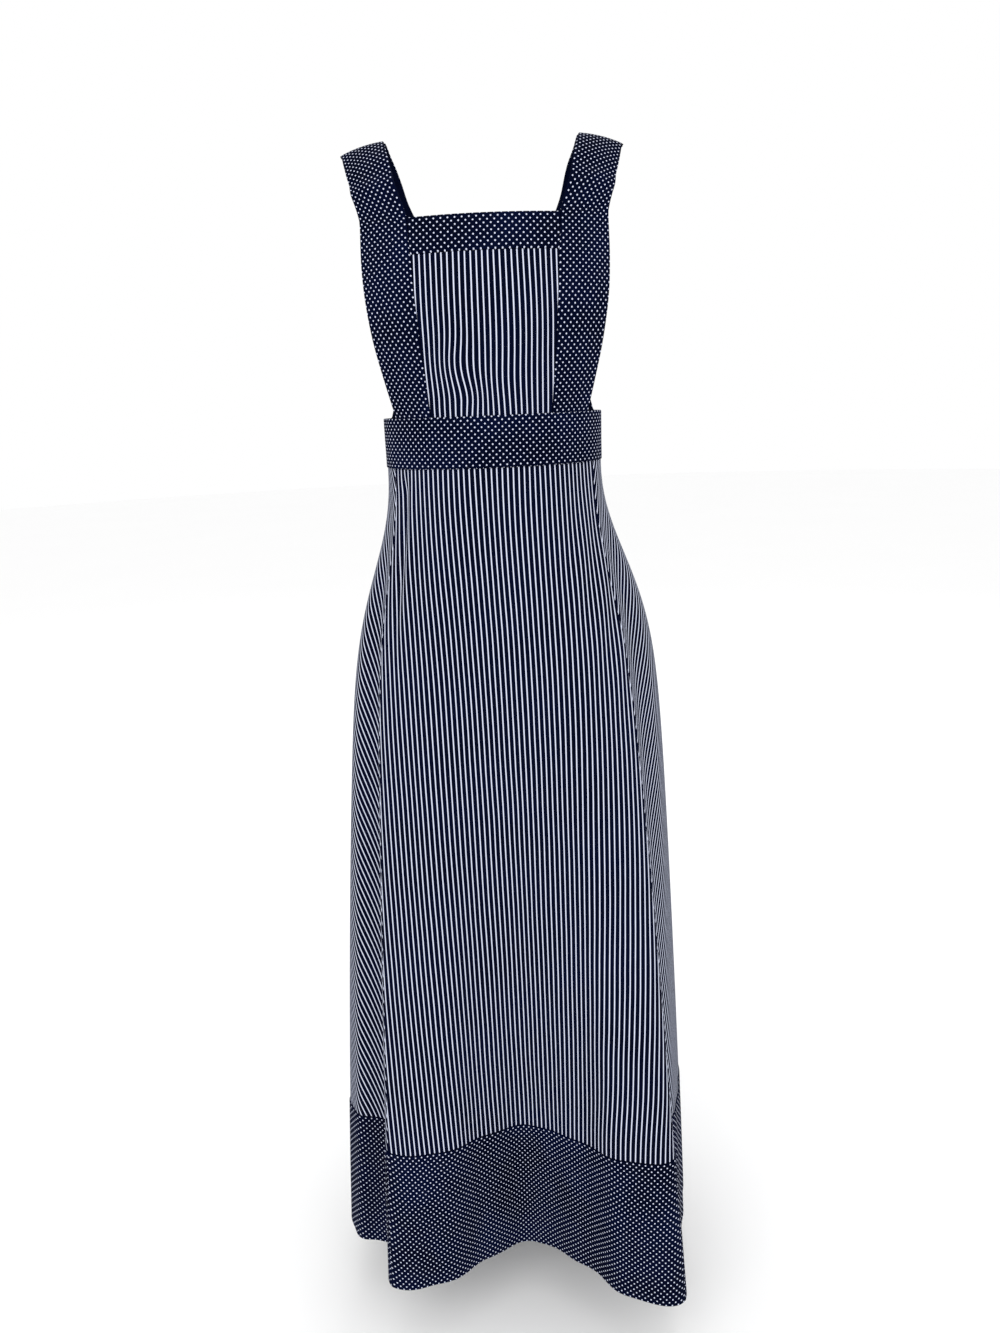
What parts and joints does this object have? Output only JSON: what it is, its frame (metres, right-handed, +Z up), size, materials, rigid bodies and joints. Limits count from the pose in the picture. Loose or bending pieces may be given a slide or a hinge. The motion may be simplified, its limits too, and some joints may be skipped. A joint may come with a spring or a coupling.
{
  "type": "butcher apron",
  "caption": "Full-length pinafore apron with a square bib, shoulder straps crossing behind, a buttoned waistband and a long flared skirt, open at the back, with a deep hem band.",
  "frame": {"origin": "midway between the two shoulder tops, where the straps rest on what wears the apron", "axes": "+Z up, -Y toward the apron's front, +X toward the wearer's left"},
  "size_m": [0.4688, 0.4044, 1.3795],
  "materials": {
    "pin_stripe_cotton": "navy cotton drill with a fine woven white stripe, matt",
    "pin_dot_cotton": "navy cotton with fine white pin dots, matt",
    "navy_lining": "plain navy cotton, matt",
    "button_shell": "polished off-white four-hole button",
    "navy_thread": "navy sewing thread"
  },
  "bodies": {
    "front": {"bib_panel": "pin_stripe_cotton", "bib_top_band": "pin_dot_cotton", "bib_lining": "navy_lining", "shoulder_band_left": "pin_dot_cotton", "shoulder_band_right": "pin_dot_cotton", "shoulder_facing_left": "navy_lining", "shoulder_facing_right": "navy_lining", "waistband_front": "pin_dot_cotton", "waistband_facing_front": "navy_lining", "skirt_front_panel": "pin_stripe_cotton", "skirt_side_panel_left": "pin_stripe_cotton", "skirt_side_panel_right": "pin_stripe_cotton", "hem_band_front": "pin_dot_cotton", "hem_band_side_left": "pin_dot_cotton", "hem_band_side_right": "pin_dot_cotton", "strap_button_left": "button_shell", "strap_button_right": "button_shell", "strap_button_shank_left": "navy_thread", "strap_button_shank_right": "navy_thread"},
    "back_flap_left": {"waistband_back_left": "pin_dot_cotton", "waistband_facing_back_left": "navy_lining", "waist_buttonhole": "navy_thread", "skirt_back_panel_left": "pin_stripe_cotton", "hem_band_back_left": "pin_dot_cotton", "back_edge_facing_left": "navy_lining"},
    "back_flap_right": {"waistband_back_right": "pin_dot_cotton", "waistband_facing_back_right": "navy_lining", "waist_button": "button_shell", "waist_button_shank": "navy_thread", "skirt_back_panel_right": "pin_stripe_cotton", "hem_band_back_right": "pin_dot_cotton", "back_edge_facing_right": "navy_lining"},
    "strap_left": {"back_strap_left": "pin_dot_cotton", "back_strap_facing_left": "navy_lining", "strap_buttonhole_left": "navy_thread"},
    "strap_right": {"back_strap_right": "pin_dot_cotton", "back_strap_facing_right": "navy_lining", "strap_buttonhole_right": "navy_thread"}
  },
  "joints": [
    {"name": "left_back_flap", "type": "hinge", "parent": "front", "child": "back_flap_left", "pos_m": [0.0639, 0.0731, -0.287], "axis": [0.072, 0.0647, -0.9953], "range_deg": [0, 80], "deforming": ["waist_buttonhole"]},
    {"name": "right_back_flap", "type": "hinge", "parent": "front", "child": "back_flap_right", "pos_m": [-0.0639, 0.0731, -0.287], "axis": [0.072, -0.0647, 0.9953], "range_deg": [0, 20]},
    {"name": "left_strap_lift", "type": "hinge", "parent": "front", "child": "strap_left", "pos_m": [0, 0, 0.0135], "axis": [1, 0, 0], "range_deg": [0, 110], "deforming": ["strap_buttonhole_left"]},
    {"name": "right_strap_lift", "type": "hinge", "parent": "front", "child": "strap_right", "pos_m": [0, 0, 0.0135], "axis": [1, 0, 0], "range_deg": [0, 110], "deforming": ["strap_buttonhole_right"]}
  ],
  "couplings": [
    {"joint": "right_back_flap", "follows": "left_back_flap", "ratio": 0.25},
    {"joint": "right_strap_lift", "follows": "left_strap_lift", "ratio": 1}
  ]
}
